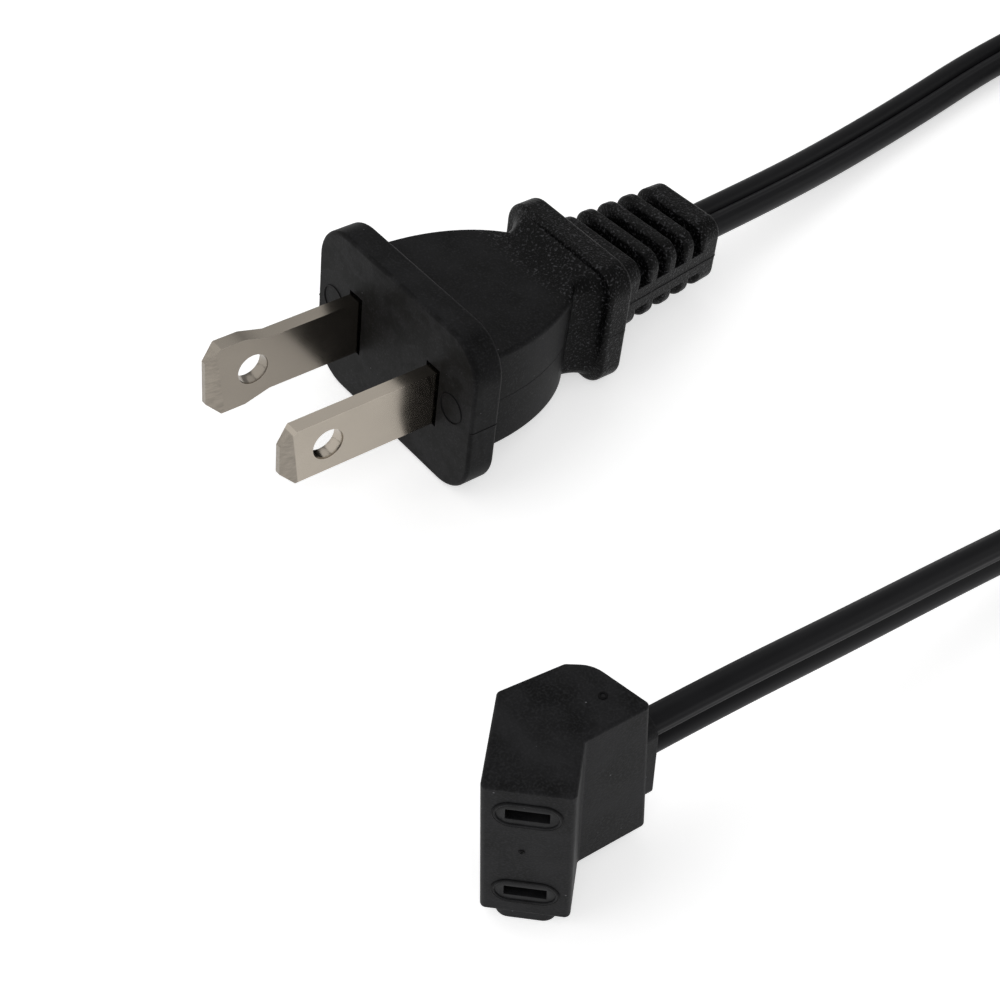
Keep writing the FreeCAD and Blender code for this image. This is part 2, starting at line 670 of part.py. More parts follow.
def make_cord(shift):
    start = laid(leaned(V(0, plug_back, 0)), shift)
    second = laid(leaned(V(0, plug_back + PLUG_OUT, 0)), shift)
    end = V(COIL_X - COIL_OUTER_TURN, COIL_Y - COIL_LEAD, plug_lead_height)
    plug_points = [start, second] + [V(*p) for p in PLUG_ROUTE] + [end]
    start = stood(connector_axis(0, mid_height))
    second = stood(connector_axis(-CONNECTOR_OUT, mid_height))
    end = V(COIL_X + COIL_OUTER_TURN, COIL_Y - COIL_LEAD, connector_lead_height)
    connector_points = [start, second] + [V(*p) for p in CONNECTOR_ROUTE] + [end]
    for name, points in (("plug route", plug_points), ("connector route", connector_points)):
        print(name, [tuple(round(c, 2) for c in p) for p in points])
    return {
        "cord_from_plug": flat_tube(plug_points, False),
        "cord_to_connector": flat_tube(connector_points, True),
        "cord_coil": coil(),
        "coil_tie": coil_tie(),
    }


def main():
    os.makedirs("parts", exist_ok=True)
    plug = make_plug()
    shift = lay_down(list(plug.values()))
    connector = make_connector()
    stand_up(list(connector.values()))
    pieces = {**plug, **make_cord(shift), **connector}
    print("rest tilt", round(rest_tilt, 3), "shift", tuple(round(c, 3) for c in shift))
    print("face centre", tuple(round(c, 4) for c in laid(V(0, 0, 0), shift)))
    for name, shape in pieces.items():
        solid = shape.Solids[0]
        print(name, "solids", len(shape.Solids), "valid", shape.isValid(), "volume", round(shape.Volume, 1))
        solid.exportStep("parts/" + name + ".step")


main()
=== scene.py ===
import math

import bmesh
import bpy
from bpy.props import FloatProperty, FloatVectorProperty, IntProperty, PointerProperty
from bpy.types import Operator, Panel, PropertyGroup
from mathutils import Matrix, Vector


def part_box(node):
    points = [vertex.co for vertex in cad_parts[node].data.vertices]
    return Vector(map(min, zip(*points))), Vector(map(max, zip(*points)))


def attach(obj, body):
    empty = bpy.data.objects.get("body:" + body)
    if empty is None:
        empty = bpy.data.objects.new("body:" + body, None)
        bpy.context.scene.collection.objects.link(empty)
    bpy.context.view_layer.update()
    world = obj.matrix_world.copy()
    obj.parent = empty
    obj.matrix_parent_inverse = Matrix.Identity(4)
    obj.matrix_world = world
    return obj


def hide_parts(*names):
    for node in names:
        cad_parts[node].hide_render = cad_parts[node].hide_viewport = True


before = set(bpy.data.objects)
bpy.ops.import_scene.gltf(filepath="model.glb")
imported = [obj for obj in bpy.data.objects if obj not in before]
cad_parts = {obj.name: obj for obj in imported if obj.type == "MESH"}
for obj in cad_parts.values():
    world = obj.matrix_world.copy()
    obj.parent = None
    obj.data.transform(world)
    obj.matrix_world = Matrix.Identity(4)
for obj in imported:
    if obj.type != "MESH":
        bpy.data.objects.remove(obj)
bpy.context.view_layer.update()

bl_info = {
    "name": "Two-blade plug and cord",
    "version": (1, 0, 0),
    "blender": (4, 5, 0),
    "location": "3D View > Sidebar > Plug Cord",
    "description": "Dresses a polarised two-blade plug, its flat twin cord and its angled "
                   "connector",
    "category": "Object",
}

MM = 0.001

# The plug is drawn straight and then laid on its flange and guard: its own frame has the
# blades along -Y, and this turn and this place of its face's centre carry it to the row frame
REST_TILT = math.radians(5.994)
FACE_CENTRE = Vector((0, -10.9888, 9.8028)) * MM
PLUG_PLACE = Matrix.Translation(FACE_CENTRE) @ Matrix.Rotation(-REST_TILT, 4, "X")

# The connector's own frame has its slot face in the plane Y = 0 and its underside at Z = 0
CONNECTOR_YAW = math.radians(44.0)
CONNECTOR_PLACE = (
    Matrix.Translation(Vector((49.9, -38.5, 1.1)) * MM) @ Matrix.Rotation(CONNECTOR_YAW, 4, "Z")
)

# Cord's control points, in metres: from the plug to the coil, and from the connector to it
PLUG_ROUTE = [
    (-0.00089, 0.02807, 0.00570), (-0.00162, 0.04098, 0.00435), (-0.0035, 0.0545, 0.0024),
    (-0.0049, 0.0685, 0.0018), (-0.0063, 0.0815, 0.00165), (-0.0064, 0.0940, 0.00165),
]
CONNECTOR_ROUTE = [
    (0.04923, -0.02173, 0.0097), (0.05002, -0.01276, 0.0097), (0.0506, 0.0006, 0.0079),
    (0.0509, 0.0160, 0.0056), (0.0517, 0.0320, 0.0036), (0.0534, 0.0486, 0.0027),
    (0.0554, 0.0650, 0.0037), (0.0564, 0.0805, 0.0057), (0.0564, 0.0920, 0.0066),
    (0.0564, 0.1040, 0.00685),
]

# Coil: its middle, and its track as degrees travelled, radius and height in mm
COIL_MIDDLE = Vector((25.6, 114.0, 0)) * MM
COIL_TRACK = [
    (0, 30.8, 1.65), (270, 30.8, 1.65), (330, 25.6, 1.65), (570, 25.6, 1.65),
    (625, 25.6, 4.25), (900, 25.6, 4.25), (960, 30.8, 4.25), (1215, 30.8, 4.25),
    (1260, 30.8, 6.85), (1320, 25.6, 6.85), (1600, 25.6, 6.85), (1640, 25.6, 9.3),
    (1700, 30.8, 9.45), (1750, 30.8, 6.85), (1980, 30.8, 6.85),
]
COIL_STEP = 20
COIL_START = 180

# Fine ribs on one of the cord's wires: their places and half width round the wire, in degrees
RIB_ANGLES = (-100, -75, -50, 50, 75, 100)
RIB_REACH = 6
RIBBED_STEPS, PLAIN_STEPS = 40, 24

# Stretch before the connector over which the flat cord turns onto its narrow side
TWIST_START = 0.115
TWIST_END = 0.068

# Seams in the plug's own frame: their heights, the stretches they run along and how far out,
# and how much a surface has to face sideways to carry one
PARTING_LEVEL = -0.6 * MM
RELIEF_PARTING_LEVEL = -0.1 * MM
FLANGE_END = 3.35 * MM
RELIEF_START = 23.9 * MM
BODY_SEAM_FROM = 4 * MM
RELIEF_SEAM_FROM = 2.9 * MM
SIDE_FACING = 0.35

# Depth that the seams' beads are sunk, and radii of the marks' beads, as shares of a seam's width
SEAM_SINK, FINE_SEAM_SINK = 0.15, 0.08
RING_BEAD, SMALL_MARK_BEAD = 0.6, 0.7

# Round marks that the mould leaves, in the frame of the piece that carries them
FLANGE_RINGS = [Vector((9.5, 0, 0.4)) * MM, Vector((-10.0, 0, 0.4)) * MM]
FLANGE_RING_RADIUS = 1.6 * MM
GATE_MARK = Vector((8.3, 9.9, 17.2)) * MM
GATE_MARK_RADIUS = 0.3 * MM
FACE_DIMPLE = Vector((3.35, 0, 9.0)) * MM
FACE_DIMPLE_RADIUS = 0.18 * MM
SLOT_RINGS = [Vector((3.725, 0, 13.975)) * MM, Vector((3.725, 0, 3.225)) * MM]
SLOT_RING_SIZE = Vector((5.2, 2.8)) * MM

# Where the looks change along Y of the row frame: where the painted shade on the blades' bevelled
# tips ends, where the smudges on the flange's face end, and where the coarse grain of guard and
# strain relief, with its painted glints, starts
TIP_BEVEL_END = -27.0 * MM
SMUDGES_FADE, SMUDGES_END = -9.8 * MM, -9.4 * MM
COARSE_GRAIN_START, COARSE_GRAIN_FULL = 4.2 * MM, 5.7 * MM

# Coil's strap, and its lock's size and place from the middle of the strap's top
STRAP_THICKNESS = 0.34 * MM
STRAP_RIDGE = 0.12 * MM
STRAP_CLEARANCE = 0.02 * MM
STRAP_CORNER = 1.1 * MM
STRAP_CORNER_STEPS = 6
LOCK_SIZE = Vector((5.2, 3.6, 2.2)) * MM
LOCK_OFFSET = Vector((0, 1.2, 0.9)) * MM
LOCK_EDGE = 0.4 * MM

# How far the middle of the picture lies right of the plug's face, and how far below it
VIEW_SHIFT = Vector((10.531, 13.898)) * MM

# Each lamp's name, place, diameter in metres and power in watts
LAMPS = (
    ("key", (-0.45, -0.50, 0.55), 1.3, 3.3), ("fill", (0.5, -0.35, 0.45), 0.7, 0.9),
    ("top", (-0.42, 0.34, 0.60), 0.6, 0.5), ("rim", (0.35, 0.55, 0.22), 0.3, 0.4),
)
LAMP_AIM = Vector((0.02, 0.0, 0.01))
WORLD_LIGHT = 0.36
FLOOR_LIFT = 0.55

# Share of the plating's colour on each blade and on their bevelled tips: the wide blade's
# lower share and the tips' share are painted shade
BLADE_SHADE_TONES = {"blade_narrow": 0.78, "blade_wide": 0.53}
TIP_SHADE_TONE = 0.48

# Angles in degrees: faces this flat are joined, edges above the next two get a bevel, and
# edges above the others stay sharp
FLAT_ANGLE = 0.2
INSERT_BEVEL_FROM, BLADE_BEVEL_FROM = 40, 30
PLASTIC_EDGE, INSERT_EDGE, BLADE_EDGE, STRAP_EDGE, CORD_EDGE = 32, 30, 25, 40, 50


def smooth_step(value):
    value = min(1.0, max(0.0, value))
    return value * value * (3 - 2 * value)


def settings():
    return bpy.context.scene.plug_cord


# Sizes and colours that a user would change


class PlugCordSettings(PropertyGroup):
    plastic: FloatVectorProperty(
        name="Moulding", description="Colour of the plug's and the connector's soft plastic",
        subtype="COLOR", min=0, max=1, default=(0.0075, 0.0075, 0.008))
    connector_tone: FloatProperty(
        name="Connector tone", description="How much paler the connector's plastic is",
        min=0.5, max=3, default=1.45)
    carrier_plastic: FloatVectorProperty(
        name="Inner plastic", description="Colour of the hard parts that hold blades and contacts",
        subtype="COLOR", min=0, max=1, default=(0.008, 0.008, 0.0085))
    jacket: FloatVectorProperty(
        name="Cord jacket", description="Colour of the flat cord's jacket",
        subtype="COLOR", min=0, max=1, default=(0.0065, 0.0065, 0.0075))
    blade_metal: FloatVectorProperty(
        name="Blade plating", description="Colour of the nickel plating on the blades",
        subtype="COLOR", min=0, max=1, default=(0.52, 0.465, 0.395))
    brass: FloatVectorProperty(
        name="Contact brass", description="Colour of the connector's spring contacts",
        subtype="COLOR", min=0, max=1, default=(0.62, 0.49, 0.26))
    copper: FloatVectorProperty(
        name="Strand copper", description="Colour of the bared copper strands",
        subtype="COLOR", min=0, max=1, default=(0.66, 0.35, 0.20))
    floor: FloatVectorProperty(
        name="Floor", description="Colour of the floor under the object",
        subtype="COLOR", min=0, max=1, default=(0.9, 0.9, 0.9))
    grain_size: FloatProperty(
        name="Grain size", description="Width of the grain's cells on the moulded plastic",
        unit="LENGTH", min=0.00005, max=0.002, default=0.00018)
    brush_size: FloatProperty(
        name="Brush line", description="Width of the drawing lines on the blades",
        unit="LENGTH", min=0.00002, max=0.001, default=0.0003)
    cord_width: FloatProperty(
        name="Cord width", description="Width of the flat cord over both its wires",
        unit="LENGTH", min=0.003, max=0.01, default=0.005)
    cord_thickness: FloatProperty(
        name="Cord thickness", description="Thickness of the flat cord",
        unit="LENGTH", min=0.0015, max=0.005, default=0.0025)
    groove_width: FloatProperty(
        name="Groove width", description="Width of the V-shaped groove between the cord's wires",
        unit="LENGTH", min=0.0001, max=0.002, default=0.0007)
    groove_floor: FloatProperty(
        name="Groove floor", description="Height of the groove's floor above the cord's middle",
        unit="LENGTH", min=0.0001, max=0.001, default=0.00014)
    rib_height: FloatProperty(
        name="Rib height", description="Height of the fine ribs that mark one of the cord's wires",
        unit="LENGTH", min=0, max=0.0002, default=0.00006)
    seam_width: FloatProperty(
        name="Seam width", description="Width of the bead that the mould's halves leave",
        unit="LENGTH", min=0.00002, max=0.0005, default=0.00016)
    slot_bevel: FloatProperty(
        name="Slot rim bevel", description="Size of the bevel round the connector's slot inserts",
        unit="LENGTH", min=0.00002, max=0.0005, default=0.00016)
    slot_lip: FloatProperty(
        name="Slot lip", description="Half width of the raised lip round each slot insert",
        unit="LENGTH", min=0.00002, max=0.0005, default=0.00012)
    blade_bevel: FloatProperty(
        name="Blade edge bevel", description="Size of the bevel along the blades' stamped edges",
        unit="LENGTH", min=0.00001, max=0.0003, default=0.00009)
    tie_ridges: FloatProperty(
        name="Tie ridge spacing", description="Distance between the ridges across the coil's tie",
        unit="LENGTH", min=0.0004, max=0.004, default=0.0009)
    ring_segments: IntProperty(
        name="Ring segments", description="Segments round each small moulded ring",
        min=12, max=96, default=40)
    view_azimuth: FloatProperty(
        name="View azimuth", description="Turn of the camera round the object",
        subtype="ANGLE", default=math.radians(51.5975))
    view_elevation: FloatProperty(
        name="View elevation", description="Height of the camera's line above the horizon",
        subtype="ANGLE", default=math.radians(47.0627))
    view_roll: FloatProperty(
        name="View roll", description="Turn of the camera about its own line",
        subtype="ANGLE", default=math.radians(0.7497))
    view_distance: FloatProperty(
        name="View distance", description="Distance of the camera from the plug's face",
        unit="LENGTH", min=0.05, default=0.1952)
    lens: FloatProperty(
        name="Lens", description="Focal length of the camera in millimetres on a 36 mm sensor",
        min=10, default=72)


# Shader node groups


def put(tree, kind, inputs=None, **options):
    """A node of that kind with its options and its unlinked inputs set; a socket links instead."""
    node = tree.nodes.new(kind)
    for option, value in options.items():
        setattr(node, option, value)
    for key, value in (inputs or {}).items():
        if isinstance(value, bpy.types.NodeSocket):
            tree.links.new(value, node.inputs[key])
        else:
            node.inputs[key].default_value = value
    return node


def calc(tree, operation, first, second):
    """Result of a Math node on two values, each a number or a socket."""
    return put(tree, "ShaderNodeMath", {0: first, 1: second}, operation=operation).outputs["Value"]


def ranged(tree, value, low, high, from_low=0.0, from_high=1.0):
    return put(tree, "ShaderNodeMapRange", {"Value": value, "From Min": from_low,
                                            "From Max": from_high, "To Min": low,
                                            "To Max": high}).outputs["Result"]


def group_tree(name, kind, inputs, outputs):
    tree = bpy.data.node_groups.new(name, kind)
    for socket_name, socket_type, default in inputs:
        socket = tree.interface.new_socket(socket_name, in_out="INPUT", socket_type=socket_type)
        if default is not None:
            socket.default_value = default
    for socket_name, socket_type in outputs:
        tree.interface.new_socket(socket_name, in_out="OUTPUT", socket_type=socket_type)
    return tree, tree.nodes.new("NodeGroupInput"), tree.nodes.new("NodeGroupOutput")


def moulded_grain_group():
    """Spark-eroded grain of a mould: its height, light specks and a slow unevenness."""
    name = "Moulded grain"
    if name in bpy.data.node_groups:
        return bpy.data.node_groups[name]
    tree, source, result = group_tree(
        name, "ShaderNodeTree",
        [("Position", "NodeSocketVector", None), ("Cells per Metre", "NodeSocketFloat", 3000.0)],
        [(output, "NodeSocketFloat") for output in ("Height", "Speck", "Mottle")])
    place, cells = source.outputs["Position"], source.outputs["Cells per Metre"]
    pits = put(tree, "ShaderNodeTexVoronoi", {"Vector": place, "Scale": cells, "Randomness": 1.0},
               feature="SMOOTH_F1")
    fine = put(tree, "ShaderNodeTexNoise", {"Vector": place, "Scale": cells, "Detail": 3.0,
                                            "Roughness": 0.6})
    specks = put(tree, "ShaderNodeTexVoronoi", {"Vector": place, "Randomness": 1.0,
                                                "Scale": calc(tree, "MULTIPLY", cells, 0.17)})
    dot = ranged(tree, specks.outputs["Distance"], 0.0, 1.0, 0.09, 0.05)
    chance = put(tree, "ShaderNodeSeparateXYZ", {"Vector": specks.outputs["Color"]})
    picked = calc(tree, "GREATER_THAN", chance.outputs["X"], 0.86)
    slow = put(tree, "ShaderNodeTexNoise", {"Vector": place, "Detail": 4.0, "Roughness": 0.55,
                                            "Scale": calc(tree, "MULTIPLY", cells, 0.04)})
    height = calc(tree, "ADD", pits.outputs["Distance"], fine.outputs["Fac"])
    tree.links.new(height, result.inputs["Height"])
    tree.links.new(calc(tree, "MULTIPLY", dot, picked), result.inputs["Speck"])
    tree.links.new(slow.outputs["Fac"], result.inputs["Mottle"])
    return tree


def drawn_lines_group():
    """Fine lines of a drawn strip or an extruded jacket, running along Y of the position."""
    name = "Drawn lines"
    if name in bpy.data.node_groups:
        return bpy.data.node_groups[name]
    tree, source, result = group_tree(
        name, "ShaderNodeTree",
        [("Position", "NodeSocketVector", None), ("Lines per Metre", "NodeSocketFloat", 8000.0),
         ("Stretch", "NodeSocketFloat", 0.03)],
        [("Height", "NodeSocketFloat"), ("Shade", "NodeSocketFloat")])
    place, density = source.outputs["Position"], source.outputs["Lines per Metre"]
    stretch = put(tree, "ShaderNodeCombineXYZ", {"X": 1.0, "Y": source.outputs["Stretch"],
                                                 "Z": 1.0})
    drawn = put(tree, "ShaderNodeVectorMath", {0: place, 1: stretch.outputs["Vector"]},
                operation="MULTIPLY")
    lines = put(tree, "ShaderNodeTexNoise", {"Vector": drawn.outputs["Vector"], "Scale": density,
                                             "Detail": 2.0, "Roughness": 0.7})
    broad = put(tree, "ShaderNodeTexNoise", {"Vector": place, "Detail": 3.0,
                                             "Scale": calc(tree, "MULTIPLY", density, 0.06)})
    tree.links.new(lines.outputs["Fac"], result.inputs["Height"])
    tree.links.new(broad.outputs["Fac"], result.inputs["Shade"])
    return tree


def rubbed_edge_group():
    """Mask of the edges that handling has rubbed smooth, broken up by a slow noise."""
    name = "Rubbed edge"
    if name in bpy.data.node_groups:
        return bpy.data.node_groups[name]
    tree, source, result = group_tree(
        name, "ShaderNodeTree",
        [("Position", "NodeSocketVector", None), ("Reach", "NodeSocketFloat", 0.0003)],
        [("Mask", "NodeSocketFloat")])
    rounded = put(tree, "ShaderNodeBevel", {"Radius": source.outputs["Reach"]}, samples=2)
    facing = put(tree, "ShaderNodeNewGeometry")
    match = put(tree, "ShaderNodeVectorMath",
                {0: rounded.outputs["Normal"], 1: facing.outputs["Normal"]},
                operation="DOT_PRODUCT")
    edge = ranged(tree, match.outputs["Value"], 0.0, 1.0, 0.99, 0.86)
    patches = put(tree, "ShaderNodeTexNoise", {"Vector": source.outputs["Position"],
                                               "Scale": 700.0, "Detail": 3.0})
    worn = ranged(tree, patches.outputs["Fac"], 0.0, 1.0, 0.35, 0.65)
    tree.links.new(calc(tree, "MULTIPLY", edge, worn), result.inputs["Mask"])
    return tree


# Materials


def blank_material(name, **constants):
    """Material with a Principled shader whose constant sockets are set by name."""
    material = bpy.data.materials.new(name)
    material.use_nodes = True
    tree = material.node_tree
    tree.nodes.clear()
    shader = put(tree, "ShaderNodeBsdfPrincipled")
    put(tree, "ShaderNodeOutputMaterial", {"Surface": shader.outputs["BSDF"]})
    for key, value in constants.items():
        shader.inputs[key.replace("_", " ")].default_value = value
    material.diffuse_color = (0.03, 0.03, 0.03, 1)
    return material, tree, shader


def shade(colour, factor):
    return (colour[0] * factor, colour[1] * factor, colour[2] * factor, 1.0)


def colour_mix(tree, factor, first, second):
    node = tree.nodes.new("ShaderNodeMix")
    node.data_type = "RGBA"
    tree.links.new(factor, node.inputs[0])
    for index, value in ((6, first), (7, second)):
        if isinstance(value, bpy.types.NodeSocket):
            tree.links.new(value, node.inputs[index])
        else:
            node.inputs[index].default_value = value
    return node.outputs[2]


def bumped(tree, shader, height, strength, distance):
    bump = put(tree, "ShaderNodeBump", {"Height": height, "Strength": strength,
                                        "Distance": distance})
    tree.links.new(bump.outputs["Normal"], shader.inputs["Normal"])


def moulded_plastic(name, colour, cells, grain_depth, roughness, zoned=False):
    """Soft black moulding, zoned for the plug: smudges in front, coarse guard and relief with
    painted glints.
    """
    if name in bpy.data.materials:
        return bpy.data.materials[name]
    material, tree, shader = blank_material(name, Specular_IOR_Level=0.1)
    place = put(tree, "ShaderNodeTexCoord").outputs["Object"]
    grain = put(tree, "ShaderNodeGroup", {"Position": place, "Cells per Metre": cells},
                node_tree=moulded_grain_group())
    rubbed = put(tree, "ShaderNodeGroup", {"Position": place, "Reach": 0.25 * MM},
                 node_tree=rubbed_edge_group()).outputs["Mask"]
    height, mottle = grain.outputs["Height"], grain.outputs["Mottle"]
    slow = colour_mix(tree, ranged(tree, mottle, 0.0, 1.0, 0.36, 0.64),
                      shade(colour, 0.4), shade(colour, 1.6))
    base = colour_mix(tree, ranged(tree, height, 0.0, 0.6, 0.85, 1.25), slow,
                      shade(colour, 2.2))
    rough = ranged(tree, mottle, roughness - 0.06, roughness + 0.08)
    if zoned:
        along = put(tree, "ShaderNodeSeparateXYZ", {"Vector": place}).outputs["Y"]
        smudge = put(tree, "ShaderNodeTexNoise", {"Vector": place, "Scale": 500.0, "Detail": 5.0,
                                                  "Roughness": 0.62})
        smudged = calc(tree, "MULTIPLY",
                       ranged(tree, along, 0.85, 0.0, SMUDGES_FADE, SMUDGES_END),
                       ranged(tree, smudge.outputs["Fac"], 0.0, 1.0, 0.46, 0.58))
        base = colour_mix(tree, smudged, base, shade(colour, 0.25))
        share = ranged(tree, along, 0.08, 1.0, COARSE_GRAIN_START, COARSE_GRAIN_FULL)
        # Painted glints: grain peaks lightened strongly and pits darkened stand in for light
        # sparkling on the coarse grain
        glint_stipple = colour_mix(tree, ranged(tree, height, 0.0, 1.0, 1.02, 1.3),
                             shade(colour, 0.12), shade(colour, 8.0))
        base = colour_mix(tree, share, base, glint_stipple)
        height = calc(tree, "MULTIPLY", height, share)
        rough = calc(tree, "SUBTRACT", rough, ranged(tree, share, 0.0, 0.14))
    specked = colour_mix(tree, ranged(tree, grain.outputs["Speck"], 0.0, 0.8), base,
                         shade(colour, 14.0))
    worn = colour_mix(tree, ranged(tree, rubbed, 0.0, 0.6), specked, shade(colour, 4.0))
    tree.links.new(worn, shader.inputs["Base Color"])
    tree.links.new(calc(tree, "SUBTRACT", rough, ranged(tree, rubbed, 0.0, 0.08)),
                   shader.inputs["Roughness"])
    bumped(tree, shader, height, 1.0, grain_depth)
    return material


def plug_plastic():
    look = settings()
    return moulded_plastic("Plug moulding", look.plastic, 1 / look.grain_size,
                           grain_depth=0.05 * MM, roughness=0.55, zoned=True)


def connector_plastic():
    look = settings()
    colour = [c * look.connector_tone for c in look.plastic]
    return moulded_plastic("Connector moulding", colour, 1 / look.grain_size,
                           grain_depth=0.012 * MM, roughness=0.55)


def carrier_plastic():
    look = settings()
    return moulded_plastic("Inner hard plastic", look.carrier_plastic, 2 / look.grain_size,
                           grain_depth=0.006 * MM, roughness=0.38)


# Dark moulding for seams and mould marks: painted shade for the shadow in their grooves and gaps
def shaded_seam_plastic():
    look = settings()
    return moulded_plastic("Moulding seam", [c * 0.35 for c in look.plastic],
                           1 / look.grain_size, grain_depth=0.004 * MM, roughness=0.6)


def drawn_metal(name, colour, stain, roughness, tip_shade=None):
    """Plated or bare strip metal with fine drawing lines, rubbed at its edges.

    Where a tip colour is given, it is painted on the blades' bevelled tips as painted shade.
    """
    if name in bpy.data.materials:
        return bpy.data.materials[name]
    material, tree, shader = blank_material(name, Metallic=1.0)
    place = put(tree, "ShaderNodeTexCoord").outputs["Object"]
    lines = put(tree, "ShaderNodeGroup",
                {"Position": place, "Lines per Metre": 1 / settings().brush_size, "Stretch": 0.05},
                node_tree=drawn_lines_group())
    rubbed = put(tree, "ShaderNodeGroup", {"Position": place, "Reach": 0.2 * MM},
                 node_tree=rubbed_edge_group()).outputs["Mask"]
    base = colour_mix(tree, lines.outputs["Shade"], shade(stain, 1.0), shade(colour, 1.06))
    streaked = colour_mix(tree, ranged(tree, lines.outputs["Height"], 0.0, 0.12), base,
                          shade(colour, 0.7))
    worn = colour_mix(tree, ranged(tree, rubbed, 0.0, 0.6), streaked, shade(colour, 1.3))
    # The bevelled tips are painted darker, with streaks: painted shade
    if tip_shade is not None:
        along = put(tree, "ShaderNodeSeparateXYZ", {"Vector": place}).outputs["Y"]
        at_tip = ranged(tree, along, 1.0, 0.0, TIP_BEVEL_END, TIP_BEVEL_END + 0.1 * MM)
        marks = colour_mix(tree, ranged(tree, lines.outputs["Height"], 0.0, 1.0, 0.3, 0.7),
                           shade(tip_shade, 0.88), shade(tip_shade, 1.14))
        worn = colour_mix(tree, at_tip, worn, marks)
    tree.links.new(worn, shader.inputs["Base Color"])
    tree.links.new(ranged(tree, lines.outputs["Shade"], roughness - 0.05, roughness + 0.09),
                   shader.inputs["Roughness"])
    bumped(tree, shader, lines.outputs["Height"], 0.3, 0.0008 * MM)
    material.diffuse_color = (*colour, 1)
    return material


def blade_metal(name, tone):
    plating = settings().blade_metal
    colour = [c * tone for c in plating]
    return drawn_metal(name, colour, [c * 0.86 for c in colour], 0.18,
                       tip_shade=[c * TIP_SHADE_TONE for c in plating])


def contact_brass():
    colour = settings().brass
    return drawn_metal("Spring brass", colour, [c * 0.7 for c in colour], 0.3)


def strand_copper():
    colour = settings().copper
    return drawn_metal("Bare copper strands", colour, [c * 0.7 for c in colour], 0.35)


def jacket_rubber(name, along_uv):
    """Smooth extruded jacket with faint lines along it and slow waves of gloss."""
    if name in bpy.data.materials:
        return bpy.data.materials[name]
    colour = settings().jacket
    material, tree, shader = blank_material(name, Specular_IOR_Level=0.16)
    place = put(tree, "ShaderNodeTexCoord").outputs["UV" if along_uv else "Object"]
    lines = put(tree, "ShaderNodeGroup",
                {"Position": place, "Lines per Metre": 3500.0, "Stretch": 0.02},
                node_tree=drawn_lines_group())
    base = colour_mix(tree, lines.outputs["Shade"], shade(colour, 0.65), shade(colour, 1.6))
    tree.links.new(base, shader.inputs["Base Color"])
    tree.links.new(ranged(tree, lines.outputs["Shade"], 0.42, 0.56), shader.inputs["Roughness"])
    bumped(tree, shader, lines.outputs["Height"], 0.5, 0.012 * MM)
    return material


def floor_material():
    """Pale floor that lifts to white for what the camera, metal and glass see of it."""
    look = settings()
    material, tree, shader = blank_material("Pale floor", Roughness=0.75, Specular_IOR_Level=0.2)
    place = put(tree, "ShaderNodeTexCoord").outputs["Object"]
    cloud = put(tree, "ShaderNodeTexNoise", {"Vector": place, "Scale": 12.0, "Detail": 3.0})
    base = colour_mix(tree, cloud.outputs["Fac"], shade(look.floor, 0.985), shade(look.floor, 1.01))
    tree.links.new(base, shader.inputs["Base Color"])
    path = put(tree, "ShaderNodeLightPath")
    seen = calc(tree, "MAXIMUM", path.outputs["Is Camera Ray"], path.outputs["Is Glossy Ray"])
    either = calc(tree, "MAXIMUM", seen, path.outputs["Is Transmission Ray"])
    shader.inputs["Emission Color"].default_value = (1, 1, 1, 1)
    tree.links.new(calc(tree, "MULTIPLY", either, FLOOR_LIFT),
                   shader.inputs["Emission Strength"])
    return material


# Meshes


def new_object(name, mesh, material):
    piece = bpy.data.objects.new(name, mesh)
    bpy.context.scene.collection.objects.link(piece)
    if material is not None:
        piece.data.materials.clear()
        piece.data.materials.append(material)
    return piece


def paint(material, *nodes):
    """That material alone on CAD nodes that no piece replaces."""
    for node in nodes:
        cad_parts[node].data.materials.clear()
        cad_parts[node].data.materials.append(material)


def merged_mesh(node, name, flat=True):
    """The CAD node's loose triangles as one joined mesh, its flat faces whole if asked."""
    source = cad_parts[node].data
    mesh = bpy.data.meshes.new(name)
    mesh.from_pydata([v.co[:] for v in source.vertices], [],
                     [p.vertices[:] for p in source.polygons])
    bm = bmesh.new()
    bm.from_mesh(mesh)
    bmesh.ops.remove_doubles(bm, verts=bm.verts, dist=0.002 * MM)
    bmesh.ops.dissolve_degenerate(bm, edges=bm.edges, dist=0.001 * MM)
    if flat:
        bmesh.ops.dissolve_limit(bm, angle_limit=math.radians(FLAT_ANGLE), verts=bm.verts,
                                 edges=bm.edges)
    bm.to_mesh(mesh)
    bm.free()
    return mesh


def smooth_by_angle(mesh, degrees):
    for face in mesh.polygons:
        face.use_smooth = True
    mesh.set_sharp_from_angle(angle=math.radians(degrees))


def weigh_normals(piece):
    weighted = piece.modifiers.new("Even shading", "WEIGHTED_NORMAL")
    weighted.keep_sharp = True
    weighted.weight = 80


def bevel_edges(piece, width, degrees):
    """Bevels edges sharper than that angle, and bakes the bevel in."""
    edge = piece.modifiers.new("Soft edge", "BEVEL")
    edge.width = width
    edge.segments = 2
    edge.limit_method = "ANGLE"
    edge.angle_limit = math.radians(degrees)
    baked(piece)


def dress(piece, nodes=()):
    if nodes:
        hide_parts(*nodes)
    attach(piece, "root")


def baked(piece):
    """The piece's evaluated mesh in place of its modifiers."""
    bpy.context.view_layer.update()
    graph = bpy.context.evaluated_depsgraph_get()
    mesh = bpy.data.meshes.new_from_object(piece.evaluated_get(graph), depsgraph=graph)
    piece.modifiers.clear()
    old = piece.data
    piece.data = mesh
    mesh.name = piece.name
    if old.users == 0:
        bpy.data.meshes.remove(old)
    return piece


def set_inputs(modifier, values):
    """Sets a Geometry Nodes modifier's inputs by their names, through the sockets' identifiers."""
    for item in modifier.node_group.interface.items_tree:
        if item.item_type == "SOCKET" and item.in_out == "INPUT" and item.name in values:
            modifier[item.identifier] = values[item.name]


